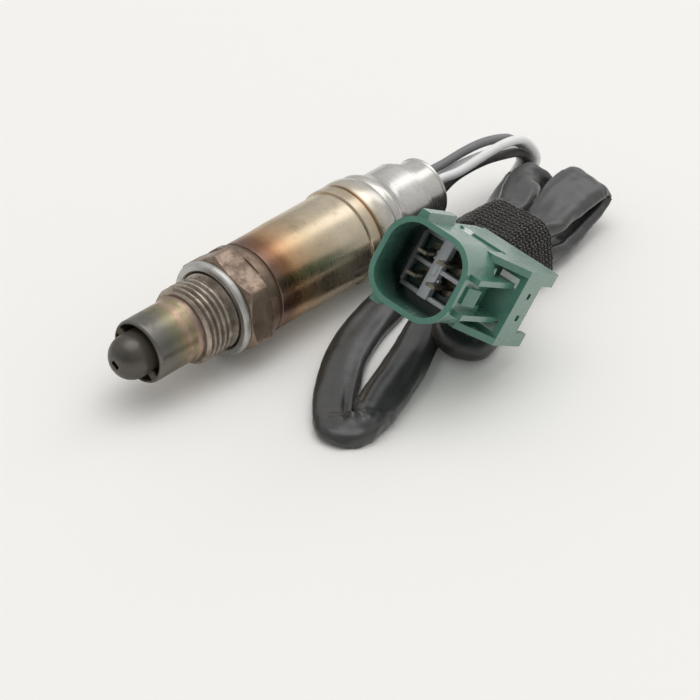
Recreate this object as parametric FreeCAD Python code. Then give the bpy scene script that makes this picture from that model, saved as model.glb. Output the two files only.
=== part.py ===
"""Heated oxygen sensor with its folded lead and four-way plug, lying at rest.

Millimetres. +X runs along the sensor from its nose to its cable end, +Z is up and z = 0 is the
surface that it lies on. The origin is under the middle of the sensor body. Lengths along the
sensor are written as stations, measured from the hexagon's front face, and radii from its axis.
"""
import FreeCAD
import Part
import math
import os

V = FreeCAD.Vector

# The sensor's reach to both sides of the hexagon's front face
nose_reach = 30.5
cable_reach = 67.9

# Threaded stub, hexagon and collar of the steel housing
thread_r = 9.0
thread_front = -11.0
thread_end = -3.0
thread_chamfer = 0.7
thread_depth = 0.92
relief_width = 0.6
hex_across_flats = 22.0
hex_blank_r = 12.55
hex_length = 6.3
hex_turn = 24.8
hex_chamfer_r = 10.9
collar_length = 2.2
shoulder_r = 10.7
shoulder_length = 1.3
spigot_r = 10.25
spigot_length = 6.2
housing_bore_r = 8.6
passage_r = 4.8
foot_bore_r = 7.0
foot_depth = 3.0
crimp_lip_r = 7.6
crimp_lip = 0.8

# Crush gasket on the seat
gasket_gap = 0.4
gasket_width = 2.0
gasket_thickness = 2.1

# Double protection tube around the element
outer_tube_r = 7.45
outer_tube_wall = 0.5
outer_tube_rim = -24.0
flare_r = 7.8
flare_length = 0.9
rim_lip_r = 6.75
rim_round = 0.8
crimp_tab_angles = (30.0, 222.0)
crimp_tab_width = 2.0
inner_tube_r = 5.1
inner_tube_wall = 0.4
dome_length = 4.9
dome_flat_r = 1.6
nose_slot_length = 2.0
nose_slot_width = 1.2
nose_slot_turn = 34.2
gas_hole_r = 0.8
gas_hole_count = 6
gas_hole_station = -16.0

# Sensing element, its seals and the heater
element_tip = -21.0
element_tip_r = 2.5
element_body_r = 3.3
element_collar_r = 6.8
element_collar_length = 4.4
element_rear_r = 3.9
element_rear = 19.0
element_bore_r = 1.7
washer_thickness = 0.6
powder_length = 4.0
disc_thickness = 0.8
heater_r = 1.5
heater_front = -18.0
heater_rear = 36.0
fit_gap = 0.1

# Contact holder with the four contact strips
holder_r = 8.0
holder_front = 17.6
holder_rear = 37.0
strip_offset = 2.1
strip_thickness = 0.5
strip_width = 1.4
strip_front = 21.0
barrel_r = 1.45
barrel_length = 6.0
barrel_front = 42.0
spring_sleeve_front = 24.0
spring_sleeve_length = 6.0

# Protective shell and the stepped rear sleeve
shell_front_r = 10.95
shell_r = 11.1
shell_wall = 0.6
shell_rear = 44.0
sleeve_wall = 0.6
band_front = 38.5
band_end = 41.4
band_r = 11.65
ridge_rise = 0.1
ridge_end = 47.4
second_ridge_r = 11.2
second_ridge_end = 50.4
neck_r = 9.57
neck_start = 53.4
neck_end = 60.3
step_r = 8.85
step_end = 62.2

# Cable cap and the rubber grommet that the four wires leave by
cap_r = 7.65
cap_wall = 0.5
cap_rim_r = 7.9
cap_rim_length = 1.0
grommet_front = 52.0
grommet_recess = 0.9
wire_r = 1.1
wire_pitch = 4.2

# Lead sleeve over the four wires, and the elastic tie round the folds
sleeve_r = 3.1
bundled_pitch = 2.3
wire_run_out = 4.0
wire_run_in = 3.4
tie_wall = 0.8
tie_slack = 0.3
tie_front = 42.6
tie_length = 12.0
tied_strands = ((-13.0, 4.2), (-20.4, 10.9), (-30.2, 10.9), (-31.0, 4.2))

# Plug: place of the middle of its mouth, and its heading, nose-up angle and roll in degrees
plug_mouth = V(-2.0, -44.1, 34.0)
plug_heading = 190.4
plug_nose_up = 31.2
plug_roll = -13.0
shroud_width = 21.6
shroud_height = 20.2
shroud_corner_r = 7.4
shroud_wall = 1.3
shroud_depth = 14.0
lip_depth = 1.5
lip_inset = 0.45
plug_depth = 34.0
core_width = 17.6
core_height = 17.0
core_corner_r = 3.0
core_shift = -1.0
core_step = 0.35
shoulder_depth = 4.5
bracket_side = 15.0
bracket_wall = 1.4
bracket_top = 9.0
bracket_bottom = -9.2
bracket_front = 20.0
bracket_middle_rear = 28.5
bracket_ear = 3.2
bracket_web = 1.6
peg_hole = 1.4
rail_height = 4.2
rail_wall = 1.3
rail_reach = 3.0
key_rib_width = 3.0
key_rib_height = 1.9
key_rib_place = -5.0
foot_rib_place = -6.0
foot_rib_height = 1.4
foot_rib_length = 7.0
cavity_r = 2.1
cavity_pitch = 5.4
retainer_front = 8.2
retainer_thickness = 1.6
retainer_width = 14.6
retainer_height = 14.0
retainer_window = 4.3
blade_width = 2.2
blade_thickness = 0.7
blade_front = 5.6
blade_rear = 26.0
seal_length = 5.0
seal_recess = 1.0
plug_lead_length = 4.0
plug_lead_run = 8.0

# Places worked out from the sizes above
seat_x = (nose_reach - cable_reach) / 2.0
hex_corner_r = hex_across_flats / math.sqrt(3.0)
corner_cut = math.radians(30.0) - math.acos(hex_across_flats / 2.0 / hex_blank_r)
lowest_corner = math.radians(abs(90.0 - (hex_turn + 60.0))) - corner_cut
axis_z = hex_blank_r * math.cos(lowest_corner)
gasket_inner_r = thread_r + gasket_gap
gasket_outer_r = gasket_inner_r + gasket_width
collar_r = gasket_outer_r
ridge_r = band_r + ridge_rise
collar_end = hex_length + collar_length
shoulder_end = collar_end + shoulder_length
spigot_end = shoulder_end + spigot_length
collar_front = washer_thickness
collar_rear = collar_front + element_collar_length
powder_rear = collar_rear + powder_length
support_rear = spigot_end - crimp_lip - disc_thickness
cap_bore_r = cap_r - cap_wall
wire_offset = wire_pitch / 2.0
grommet_rear = cable_reach - grommet_recess

wire_places = {
    "grey": (1, 1),
    "black": (-1, -1),
    "white_front": (-1, 1),
    "white_back": (1, -1),
}

# Routes of the four wires from the grommet to the sleeve's mouth, chosen by hand
mouth = V(77.0, -2.4, 4.0)
wire_bends = {
    "grey": [(57.6, 1.8, 14.4), (64.6, 1.5, 15.1), (71.0, 1.2, 15.0), (76.4, 0.5, 14.2),
             (80.8, -0.4, 12.8), (86.2, -1.0, 6.5)],
    "black": [(57.4, -1.8, 12.3), (63.8, -1.7, 12.5), (70.0, -1.9, 12.2), (75.4, -2.8, 11.5),
              (80.2, -3.4, 10.5), (82.1, -3.6, 7.8)],
    "white_front": [(57.6, -4.0, 15.0), (64.2, -4.8, 16.4), (70.6, -4.9, 16.8), (76.4, -4.6, 15.9),
                    (81.4, -4.2, 13.6), (86.2, -3.8, 6.8)],
    "white_back": [(57.4, 2.4, 11.6), (63.8, 1.3, 12.2), (70.0, 0.6, 12.0), (75.4, -0.2, 11.4),
                   (80.2, -0.9, 10.5), (82.0, -1.2, 7.8)],
}

# Route of the sleeved lead from its mouth to the plug, chosen by hand
lead_route = [
    (77.0, -2.4, 4.0), (69.0, -4.6, 3.2), (58.2, -13.0, 4.2), (39.0, -13.0, 4.2),
    (25.0, -15.2, 3.2), (11.0, -18.2, 3.2), (-1.6, -23.0, 3.2), (-12.6, -29.4, 3.2),
    (-20.4, -36.4, 3.2), (-26.0, -42.4, 3.2), (-18.8, -51.0, 3.2), (-10.0, -44.6, 3.2),
    (-0.6, -38.0, 3.2), (9.6, -31.4, 3.2), (22.4, -24.2, 3.2), (39.0, -21.6, 4.2),
    (57.6, -21.6, 4.2), (68.4, -17.0, 3.4), (79.8, -13.4, 3.3), (76.8, -5.2, 10.4),
    (67.6, -12.0, 10.0), (57.6, -20.4, 10.9), (39.0, -20.4, 10.9), (30.6, -26.6, 9.3),
    (23.2, -33.4, 5.3), (15.8, -36.2, 5.4), (18.0, -43.4, 3.2), (27.4, -39.6, 3.2),
    (38.6, -31.0, 4.2), (57.0, -31.0, 4.2), (69.0, -31.4, 3.2), (80.8, -30.2, 3.2),
    (81.0, -21.2, 10.0), (69.2, -24.6, 10.4), (57.0, -30.2, 10.9), (41.4, -30.2, 10.9),
]


def rounded_point(previous, corner, following):
    """The two ends and the middle of the arc that rounds one point of a route, and its radius."""
    back = previous - corner
    ahead = following - corner
    half_turn = (math.pi - back.getAngle(ahead)) / 2.0
    reach = 0.45 * min(back.Length, ahead.Length)
    radius = reach / math.tan(half_turn)
    start = corner + back.normalize() * reach
    end = corner + ahead.normalize() * reach
    inward = (start + end) * 0.5 - corner
    to_centre = radius / math.cos(half_turn)
    middle = corner + inward.normalize() * (to_centre - radius)
    return start, middle, end, radius


def routed_tube(points, radius, name):
    """A round tube along straight runs joined by tangent arcs."""
    points = [V(*point) for point in points]
    edges = []
    radii = []
    last = points[0]
    for index in range(1, len(points) - 1):
        start, middle, end, bend = rounded_point(*points[index - 1:index + 2])
        edges.append(Part.LineSegment(last, start).toShape())
        edges.append(Part.Arc(start, middle, end).toShape())
        radii.append(bend)
        last = end
    edges.append(Part.LineSegment(last, points[-1]).toShape())
    path = Part.Wire(edges)
    ring = Part.Wire(Part.Circle(points[0], points[1] - points[0], radius).toShape())
    tube = path.makePipeShell([ring], True, False)
    expected = math.pi * radius ** 2 * path.Length
    print("%s: length %.1f, volume ratio %.4f, radii %s" % (
        name, path.Length, tube.Volume / expected, " ".join("%.1f" % bend for bend in radii)))
    return tube


class Outline:
    """A half section of a turned piece: stations along the axis and radii from it."""

    def __init__(self, station, radius):
        self.at = V(station, radius, 0)
        self.first = self.at
        self.edges = []

    def line(self, *places):
        """Straight edges through the given pairs of station and radius."""
        for station, radius in places:
            there = V(station, radius, 0)
            self.edges.append(Part.LineSegment(self.at, there).toShape())
            self.at = there
        return self

    def arc(self, middle, end):
        """One arc through a middle place to an end place."""
        there = V(end[0], end[1], 0)
        through = V(middle[0], middle[1], 0)
        self.edges.append(Part.Arc(self.at, through, there).toShape())
        self.at = there
        return self

    def turn(self):
        """Close the section and turn it round the axis."""
        self.edges.append(Part.LineSegment(self.at, self.first).toShape())
        face = Part.Face(Part.Wire(self.edges))
        return face.revolve(V(0, 0, 0), V(1, 0, 0), 360)


def ring(front, rear, inner_r, outer_r):
    """A plain turned ring or tube."""
    return Outline(front, inner_r).line((front, outer_r), (rear, outer_r), (rear, inner_r)).turn()


def rod(front, rear, radius, y=0.0, z=0.0):
    """A round bar along the axis direction."""
    return Part.makeCylinder(radius, rear - front, V(front, y, z), V(1, 0, 0))


def block(x_range, y_range, z_range):
    """A plain box between the given limits."""
    size = [high - low for low, high in (x_range, y_range, z_range)]
    return Part.makeBox(size[0], size[1], size[2], V(x_range[0], y_range[0], z_range[0]))


def quadrants(offset):
    """Four places on a square pattern round the axis."""
    return [(y * offset, z * offset) for y in (-1, 1) for z in (-1, 1)]


def hexagon_prism():
    """The bare hexagon, before the lathe cuts its corners."""
    corners = []
    for step in range(7):
        angle = math.radians(hex_turn + 60.0 * step)
        corners.append(V(0, hex_corner_r * math.cos(angle), hex_corner_r * math.sin(angle)))
    return Part.Face(Part.makePolygon(corners)).extrude(V(hex_length, 0, 0))


def sensor_housing():
    """Threaded stub, hexagon, collar and crimp spigot, turned from one bar."""
    root_r = thread_r - thread_depth
    chamfer_width = (hex_blank_r - hex_chamfer_r) * 0.58
    hex_blank = Outline(0, 0).line(
        (0, hex_chamfer_r), (chamfer_width, hex_blank_r),
        (hex_length - 0.6, hex_blank_r), (hex_length, collar_r), (hex_length, 0)).turn()
    hexagon = hexagon_prism().common(hex_blank)
    outside = Outline(thread_front, 0).line(
        (thread_front, thread_r - thread_chamfer), (thread_front + thread_chamfer, thread_r),
        (thread_end - thread_depth, thread_r), (thread_end, root_r),
        (thread_end + relief_width, root_r), (thread_end + relief_width + 0.3, thread_r),
        (hex_length - 0.2, thread_r), (hex_length - 0.2, collar_r),
        (collar_end - 0.4, collar_r)).arc(
        (collar_end - 0.12, collar_r - 0.12), (collar_end, collar_r - 0.4)).line(
        (collar_end, shoulder_r), (shoulder_end, shoulder_r), (shoulder_end, spigot_r),
        (spigot_end, spigot_r), (spigot_end, 0)).turn()
    bore = Outline(thread_front, 0).line(
        (thread_front, foot_bore_r), (thread_front + foot_depth, foot_bore_r),
        (thread_front + foot_depth, passage_r), (0, passage_r), (0, housing_bore_r),
        (spigot_end - crimp_lip, housing_bore_r), (spigot_end - crimp_lip, crimp_lip_r),
        (spigot_end, crimp_lip_r), (spigot_end, 0)).turn()
    return outside.fuse(hexagon).cut(bore).removeSplitter()


def seal_gasket():
    """Folded crush ring, round at its edge, seated against the hexagon."""
    half = gasket_thickness / 2.0
    bulge = half * 0.6
    return Outline(0, gasket_inner_r).line(
        (0, gasket_outer_r - bulge)).arc(
        (-half, gasket_outer_r), (-gasket_thickness, gasket_outer_r - bulge)).line(
        (-gasket_thickness, gasket_inner_r + 0.3), (-gasket_thickness + 0.3, gasket_inner_r)).turn()


def outer_protection_tube():
    """Outer tube with a flared foot, a rolled front rim and crimped tabs."""
    inner_r = outer_tube_r - outer_tube_wall
    foot_inner_r = foot_bore_r - outer_tube_wall
    flare_front = thread_front - flare_length
    rim = outer_tube_rim
    body = Outline(thread_front + foot_depth, foot_bore_r).line(
        (thread_front, foot_bore_r), (thread_front, flare_r), (flare_front, flare_r),
        (flare_front - 0.8, outer_tube_r), (rim + rim_round, outer_tube_r)).arc(
        (rim + rim_round * 0.29, outer_tube_r - rim_round * 0.29 * 0.9),
        (rim, rim_lip_r)).line(
        (rim + outer_tube_wall, rim_lip_r - 0.1)).arc(
        (rim + rim_round * 0.8, inner_r - 0.12), (rim + rim_round * 1.4, inner_r)).line(
        (flare_front - 0.6, inner_r), (flare_front, foot_inner_r),
        (thread_front + foot_depth, foot_inner_r)).turn()
    reach = rim_lip_r + 0.15 - inner_tube_r
    for angle in crimp_tab_angles:
        tab = block((rim, rim + outer_tube_wall), (inner_tube_r, inner_tube_r + reach),
                    (-crimp_tab_width / 2.0, crimp_tab_width / 2.0))
        tab = tab.cut(rod(rim - 1.0, rim + 2.0, inner_tube_r))
        tab.rotate(V(0, 0, 0), V(1, 0, 0), angle)
        body = body.fuse(tab)
    return body.removeSplitter()


def inner_protection_tube():
    """Inner tube with a closed dome, a slot in its nose and a ring of gas holes."""
    nose = -nose_reach
    dome_base = nose + dome_length
    bore_r = inner_tube_r - inner_tube_wall
    foot_r = foot_bore_r - outer_tube_wall
    foot_front = thread_front + foot_depth - inner_tube_wall * 1.5
    foot_rear = thread_front + foot_depth
    outer_mid = (nose + dome_length * 0.3, inner_tube_r * 0.77)
    inner_mid = (nose + inner_tube_wall + dome_length * 0.3, bore_r * 0.77)
    tube = Outline(foot_rear, foot_r).line(
        (foot_front, foot_r), (foot_front, inner_tube_r), (dome_base, inner_tube_r)).arc(
        outer_mid, (nose, dome_flat_r)).line(
        (nose, 0), (nose + inner_tube_wall, 0), (nose + inner_tube_wall, dome_flat_r - 0.2)).arc(
        inner_mid, (dome_base + inner_tube_wall, bore_r)).line((foot_rear, bore_r)).turn()
    slot = block((nose - 1.0, nose + 2.0), (-nose_slot_length / 2.0, nose_slot_length / 2.0),
                 (-nose_slot_width / 2.0, nose_slot_width / 2.0))
    slot.rotate(V(0, 0, 0), V(1, 0, 0), nose_slot_turn)
    tube = tube.cut(slot)
    for step in range(gas_hole_count):
        hole = Part.makeCylinder(gas_hole_r, inner_tube_r + 1.0, V(gas_hole_station, 0, 0), V(0, 0, 1))
        hole.rotate(V(0, 0, 0), V(1, 0, 0), 360.0 / gas_hole_count * step)
        tube = tube.cut(hole)
    return tube


def sensing_element():
    """Closed ceramic thimble with the collar that carries it."""
    tip_round = element_tip + element_tip_r
    outside = Outline(element_tip, 0).arc(
        (tip_round - element_tip_r * math.cos(math.pi / 4), element_tip_r * math.sin(math.pi / 4)),
        (tip_round, element_tip_r)).line(
        (thread_front + foot_depth, element_tip_r), (0, element_body_r),
        (collar_front, element_body_r), (collar_front, element_collar_r),
        (collar_rear, element_collar_r), (collar_rear, element_rear_r),
        (element_rear, element_rear_r), (element_rear, 0)).turn()
    return outside.cut(rod(heater_front - 0.4, element_rear + 1.0, element_bore_r))


def disc_spring():
    """Dished washer that loads the seal against the housing's lip."""
    inner_r = element_rear_r + 0.9
    return ring(support_rear, support_rear + disc_thickness, inner_r, housing_bore_r)


def contact_holder():
    """Ceramic holder with a bore for the heater and slots for the four strips."""
    body = ring(holder_front, holder_rear, heater_r, holder_r)
    pocket = rod(holder_front - 1.0, element_rear + fit_gap, element_rear_r + fit_gap)
    body = body.cut(pocket)
    for y, z in quadrants(strip_offset):
        body = body.cut(strip_blank(y, z, element_rear, holder_rear + 1.0, fit_gap))
    return body


def strip_blank(y, z, front, rear, gap):
    """One straight strip lane at a place of the square pattern."""
    half_width = strip_width / 2.0 + gap
    half_thickness = strip_thickness / 2.0 + gap
    return block((front, rear), (y - half_width, y + half_width), (z - half_thickness, z + half_thickness))


def contact_strips():
    """Four spring strips, each ending in a crimp barrel on its wire."""
    strips = []
    for y, z in quadrants(strip_offset):
        strip = strip_blank(y, z, strip_front, barrel_front + 0.5, 0.0)
        barrel = rod(barrel_front, barrel_front + barrel_length, barrel_r, y, z)
        hole = rod(barrel_front + 1.5, barrel_front + barrel_length + 1.0, wire_r, y, z)
        strips.append(strip.fuse(barrel).cut(hole).removeSplitter())
    return Part.makeCompound(strips)


def protective_shell():
    """Drawn shell, welded to the spigot and slightly wider at its rear."""
    return Outline(shoulder_end, spigot_r).line(
        (shoulder_end, shell_front_r - 0.25)).arc(
        (shoulder_end + 0.12, shell_front_r - 0.08), (shoulder_end + 0.5, shell_front_r)).line(
        (spigot_end + 2.0, shell_front_r), (spigot_end + 6.0, shell_r), (shell_rear, shell_r),
        (shell_rear, shell_r - shell_wall), (spigot_end + 6.0, shell_r - shell_wall),
        (spigot_end + 1.0, spigot_r)).turn()


def rear_sleeve():
    """Stepped sleeve: band, two rolled ridges, neck and the step over the cable cap."""
    middle_of_ridge = (band_end + ridge_end) / 2.0 + 0.4
    middle_of_second = (ridge_end + second_ridge_end) / 2.0
    inner_neck = neck_r - sleeve_wall
    groove_r = band_r - 0.35
    outside = Outline(band_front, 0).line(
        (band_front, band_r - 0.2), (band_front + 0.2, band_r), (band_end - 0.2, band_r),
        (band_end, groove_r), (band_end + 0.7, groove_r)).arc(
        (middle_of_ridge, ridge_r), (ridge_end - 0.1, second_ridge_r)).line(
        (ridge_end, second_ridge_r - 0.25), (ridge_end + 0.2, second_ridge_r - 0.1)).arc(
        (middle_of_second, second_ridge_r + 0.05), (second_ridge_end, second_ridge_r - 0.5)).arc(
        (second_ridge_end + 1.15, neck_r + 0.42), (neck_start, neck_r)).line(
        (neck_end - 0.3, neck_r), (neck_end, neck_r - 0.3), (neck_end + 0.2, step_r),
        (step_end - 0.4, step_r - 0.1), (step_end, step_r - 0.5), (step_end, 0)).turn()
    inside = Outline(band_front - 1.0, 0).line(
        (band_front - 1.0, shell_r), (shell_rear, shell_r), (shell_rear, second_ridge_r - 0.9),
        (ridge_end, second_ridge_r - 0.9), (second_ridge_end, inner_neck + 0.6),
        (neck_start, inner_neck), (neck_end - 0.6, inner_neck),
        (neck_end - 0.6, cap_r), (step_end + 1.0, cap_r), (step_end + 1.0, 0)).turn()
    return outside.cut(inside)


def cable_cap():
    """Cap tube held under the sleeve by its flange, with a rolled rear rim."""
    flange_rear = neck_end - 0.6
    rim_front = cable_reach - cap_rim_length
    return Outline(flange_rear - 0.8, cap_bore_r).line(
        (flange_rear - 0.8, neck_r - sleeve_wall), (flange_rear, neck_r - sleeve_wall),
        (flange_rear, cap_r), (rim_front, cap_r)).arc(
        (rim_front + 0.35, cap_rim_r - 0.05), (cable_reach - 0.3, cap_rim_r - 0.05)).line(
        (cable_reach, cap_rim_r - 0.35), (cable_reach, cap_bore_r)).turn()


def cable_grommet():
    """Rubber plug that seals the four wires in the cap."""
    flange_rear = neck_end - 1.4
    plug = Outline(grommet_front, 0).line(
        (grommet_front, cap_bore_r), (grommet_front + 1.5, neck_r - sleeve_wall),
        (flange_rear, neck_r - sleeve_wall), (flange_rear, cap_bore_r),
        (grommet_rear, cap_bore_r), (grommet_rear, 0)).turn()
    for y, z in quadrants(wire_offset):
        plug = plug.cut(rod(grommet_front - 1.0, grommet_rear + 1.0, wire_r, y, z))
    return plug


def lead_ends():
    """The four wire ends between the crimp barrels and the grommet's outer face."""
    ends = [rod(barrel_front + 1.5, grommet_rear, wire_r, y, z) for y, z in quadrants(wire_offset)]
    return Part.makeCompound(ends)


def lead_wire(name):
    """One bare wire from the grommet, over its arch and square into the sleeve's mouth."""
    side_y, side_z = wire_places[name]
    start = V(seat_x + grommet_rear, side_y * wire_offset, axis_z + side_z * wire_offset)
    outward = (mouth - V(*lead_route[1])).normalize()
    side = V(0, 0, 1).cross(outward).normalize()
    upright = outward.cross(side)
    half = bundled_pitch / 2.0
    end = mouth + side * (side_y * half) - upright * (side_z * half)
    points = [start, start + V(wire_run_out, 0, 0)] + wire_bends[name] + [end + outward * wire_run_in, end]
    return routed_tube(points, wire_r, "wire_" + name)


def wrapped_face(places, radius):
    """The section wrapped tightly round equal rods at the given places, as a face across X."""
    centres = [V(tie_front, y, z) for y, z in places]
    normals = []
    for index, centre in enumerate(centres):
        run = centres[(index + 1) % len(centres)] - centre
        normals.append(V(0, run.z, -run.y).normalize())
    edges = []
    for index, centre in enumerate(centres):
        first = normals[index - 1]
        last = normals[index]
        middle = (first + last).normalize()
        edges.append(Part.Arc(centre + first * radius, centre + middle * radius, centre + last * radius).toShape())
        following = centres[(index + 1) % len(centres)]
        edges.append(Part.LineSegment(centre + last * radius, following + last * radius).toShape())
    return Part.Face(Part.Wire(edges))


def tie_band():
    """Elastic tie drawn round the five folded strands."""
    inner_r = sleeve_r + tie_slack
    section = wrapped_face(tied_strands, inner_r + tie_wall)
    opening = wrapped_face(tied_strands, inner_r)
    return section.cut(opening).extrude(V(tie_length, 0, 0))


def rounded_wire(width, height, corner, depth, shift=0.0):
    """A rounded rectangle in the plug's own frame, at a depth behind its mouth."""
    x = width / 2.0 - corner
    y = height / 2.0 - corner
    diagonal = corner * math.sqrt(0.5)
    edges = []
    for start, sign_x, sign_y in ((0, 1, 1), (90, -1, 1), (180, -1, -1), (270, 1, -1)):
        centre = V(shift + sign_x * x, sign_y * y, -depth)
        first = V(corner, 0, 0) if sign_x == sign_y else V(0, corner, 0)
        last = V(0, corner, 0) if sign_x == sign_y else V(corner, 0, 0)
        first = V(first.x * sign_x, first.y * sign_y, 0)
        last = V(last.x * sign_x, last.y * sign_y, 0)
        middle = V(diagonal * sign_x, diagonal * sign_y, 0)
        edges.append((centre + first, centre + middle, centre + last))
    outline = []
    for index, (first, middle, last) in enumerate(edges):
        outline.append(Part.Arc(first, middle, last).toShape())
        following = edges[(index + 1) % 4][0]
        outline.append(Part.LineSegment(last, following).toShape())
    return Part.Wire(outline)


def rounded_prism(width, height, corner, front, rear, shift=0.0):
    """A rounded bar between two depths behind the mouth."""
    face = Part.Face(rounded_wire(width, height, corner, front, shift))
    return face.extrude(V(0, 0, front - rear))


def plug_shroud():
    """Mouth of the plug with its raised lip, rounding down to the core behind."""
    lip = rounded_prism(shroud_width, shroud_height, shroud_corner_r, 0.0, lip_depth)
    width = shroud_width - 2 * lip_inset
    height = shroud_height - 2 * lip_inset
    skirt = rounded_prism(width, height, shroud_corner_r - lip_inset, lip_depth, shroud_depth)
    step = 2 * core_step
    shoulder = Part.makeLoft([
        rounded_wire(width, height, shroud_corner_r - lip_inset, shroud_depth),
        rounded_wire(core_width + step, core_height + step, core_corner_r + core_step,
                     shroud_depth + shoulder_depth, core_shift)], True)
    return lip.fuse([skirt, shoulder])


def plug_bracket():
    """Open box on the plug's side that clips to a body bracket."""
    front = -bracket_front
    rear = -plug_depth
    side = bracket_side
    inner = side - bracket_wall
    root = core_shift + core_width / 2.0 - 0.6
    top, bottom = bracket_top, bracket_bottom
    plate = block((inner, side), (bottom, top), (rear, front))
    gap_low = bottom + bracket_ear
    gap_high = top - bracket_ear
    plate = plate.cut(block((inner - 1.0, side + 1.0), (gap_low, gap_high), (rear - 1.0, -bracket_middle_rear)))
    for place in (3.1, -2.3):
        half = peg_hole / 2.0
        plate = plate.cut(block((inner - 1.0, side + 1.0), (place - half, place + half),
                                (-25.6, -25.6 + peg_hole)))
    webs = [block((root, side), (low, low + bracket_web), (rear, front))
            for low in (bottom, top - bracket_web)]
    face = block((root, side), (bottom, top), (front - bracket_web, front))
    windows = [block((root + 1.4, inner - 0.2), (low, low + 2.6), (front - 3.0, front + 1.0))
               for low in (3.6, -6.6)]
    for window in windows:
        face = face.cut(window)
    return plate.fuse(webs + [face])


def plug_gussets():
    """Sloping webs that carry the bracket's corners from the shroud."""
    reach = shroud_width / 2.0 - lip_inset - 0.9
    gussets = []
    for y, thickness in ((bracket_top - bracket_web, bracket_web), (bracket_bottom, bracket_web)):
        corners = [V(reach - 3.0, y, -shroud_depth + 1.0), V(reach - 1.6, y, -shroud_depth + 1.0),
                   V(bracket_side, y, -bracket_front), V(reach - 3.0, y, -bracket_front)]
        corners.append(corners[0])
        gussets.append(Part.Face(Part.makePolygon(corners)).extrude(V(0, thickness, 0)))
    return gussets


def plug_rails():
    """Two latch rails with the ramp between them."""
    root = shroud_width / 2.0 - 2.0
    top = root + rail_reach + 1.0
    rails = []
    for centre in (rail_height, -rail_height):
        low = centre - rail_wall / 2.0
        rails.append(block((root, top), (low, low + rail_wall), (-bracket_front, -lip_depth - 1.2)))
    ramp = Part.Face(Part.makePolygon([
        V(root, -2.0, -3.4), V(root + 2.2, -2.0, -3.4), V(root + 3.4, -2.0, -7.4),
        V(root, -2.0, -7.4), V(root, -2.0, -3.4)])).extrude(V(0, 4.0, 0))
    return rails + [ramp]


def plug_ribs():
    """Keying rib on the top of the shroud and the short rib under it."""
    top = shroud_height / 2.0
    base = top - 1.2
    half = key_rib_width / 2.0
    key = Part.Face(Part.makePolygon([
        V(key_rib_place - half, base, -0.6), V(key_rib_place + half, base, -0.6),
        V(key_rib_place + half - 0.5, top + key_rib_height - 0.4, -0.6),
        V(key_rib_place - half + 0.5, top + key_rib_height - 0.4, -0.6),
        V(key_rib_place - half, base, -0.6)])).extrude(V(0, 0, 0.6 - shroud_depth))
    foot = block((foot_rib_place - 1.2, foot_rib_place + 1.2),
                 (0.4 - top - foot_rib_height, 1.2 - top), (-foot_rib_length, -0.8))
    return [key, foot]


def plug_housing():
    """The plug's one-piece moulding, in its own frame."""
    core = rounded_prism(core_width, core_height, core_corner_r, shroud_depth + 3.0, plug_depth, core_shift)
    saddle = block((core_shift - 4.6, bracket_side - 1.0), (core_height / 2.0 - 1.4, bracket_top),
                   (-plug_depth, -bracket_front - 1.5))
    body = plug_shroud().fuse([core, saddle] + plug_ribs() + plug_rails() + plug_gussets())
    body = body.fuse(plug_bracket())
    mouth_cut = rounded_prism(
        shroud_width - 2 * shroud_wall, shroud_height - 2 * shroud_wall,
        shroud_corner_r - shroud_wall, -1.0, shroud_depth - 0.8)
    body = body.cut(mouth_cut)
    for x, y in cavity_places():
        body = body.cut(Part.makeCylinder(cavity_r, plug_depth, V(x, y, -plug_depth - 1.0)))
    half = peg_hole * 1.6
    latch_pocket = block((shroud_width / 2.0 - 2.6, shroud_width / 2.0 + 3.0), (-half, half),
                         (-bracket_front + 1.0, -9.4))
    return body.cut(latch_pocket).removeSplitter()


def cavity_places():
    """Centres of the four terminal cavities, in the plug's own frame."""
    half = cavity_pitch / 2.0
    return [(core_shift + x * half, y * half) for x in (-1, 1) for y in (-1, 1)]


def terminal_retainer():
    """Lattice plate in the mouth that locks the four blades."""
    rear = retainer_front + retainer_thickness
    plate = rounded_prism(retainer_width, retainer_height, 2.0, retainer_front, rear, core_shift)
    half = retainer_window / 2.0
    for x, y in cavity_places():
        plate = plate.cut(block((x - half, x + half), (y - half, y + half), (-rear - 1.0, 0.0)))
    posts = []
    for side in (-1, 1):
        centre = core_shift + side * (retainer_width / 2.0 - 0.7)
        posts.append(block((centre - 0.7, centre + 0.7), (-2.0, 2.0), (0.8 - shroud_depth, -rear + 0.2)))
    return plate.fuse(posts).removeSplitter()


def blade_terminals():
    """Four flat blades, each with the round body that its wire is crimped in."""
    blades = []
    for x, y in cavity_places():
        blade = block((x - blade_width / 2.0, x + blade_width / 2.0),
                      (y - blade_thickness / 2.0, y + blade_thickness / 2.0),
                      (-shroud_depth - 2.0, -blade_front))
        barrel = Part.makeCylinder(cavity_r, blade_rear - shroud_depth - 1.0, V(x, y, -blade_rear))
        blades.append(blade.fuse(barrel).removeSplitter())
    return Part.makeCompound(blades)


def wire_seals():
    """Four ribbed rubber seals in the rear of the plug's cavities."""
    seals = []
    rear = plug_depth - seal_recess
    for x, y in cavity_places():
        outline = Outline(-rear, 0).line((-rear, cavity_r - 0.3))
        ribs = 3
        pitch = seal_length / ribs
        for index in range(ribs):
            crest = -rear + pitch * (index + 0.5)
            valley = -rear + pitch * (index + 1)
            outline.line((crest, cavity_r), (valley, cavity_r - 0.3))
        seal = outline.line((-rear + seal_length, 0)).turn()
        seal.rotate(V(0, 0, 0), V(0, 1, 0), -90)
        seal.translate(V(x, y, 0))
        seals.append(seal)
    return Part.makeCompound(seals)


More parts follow.
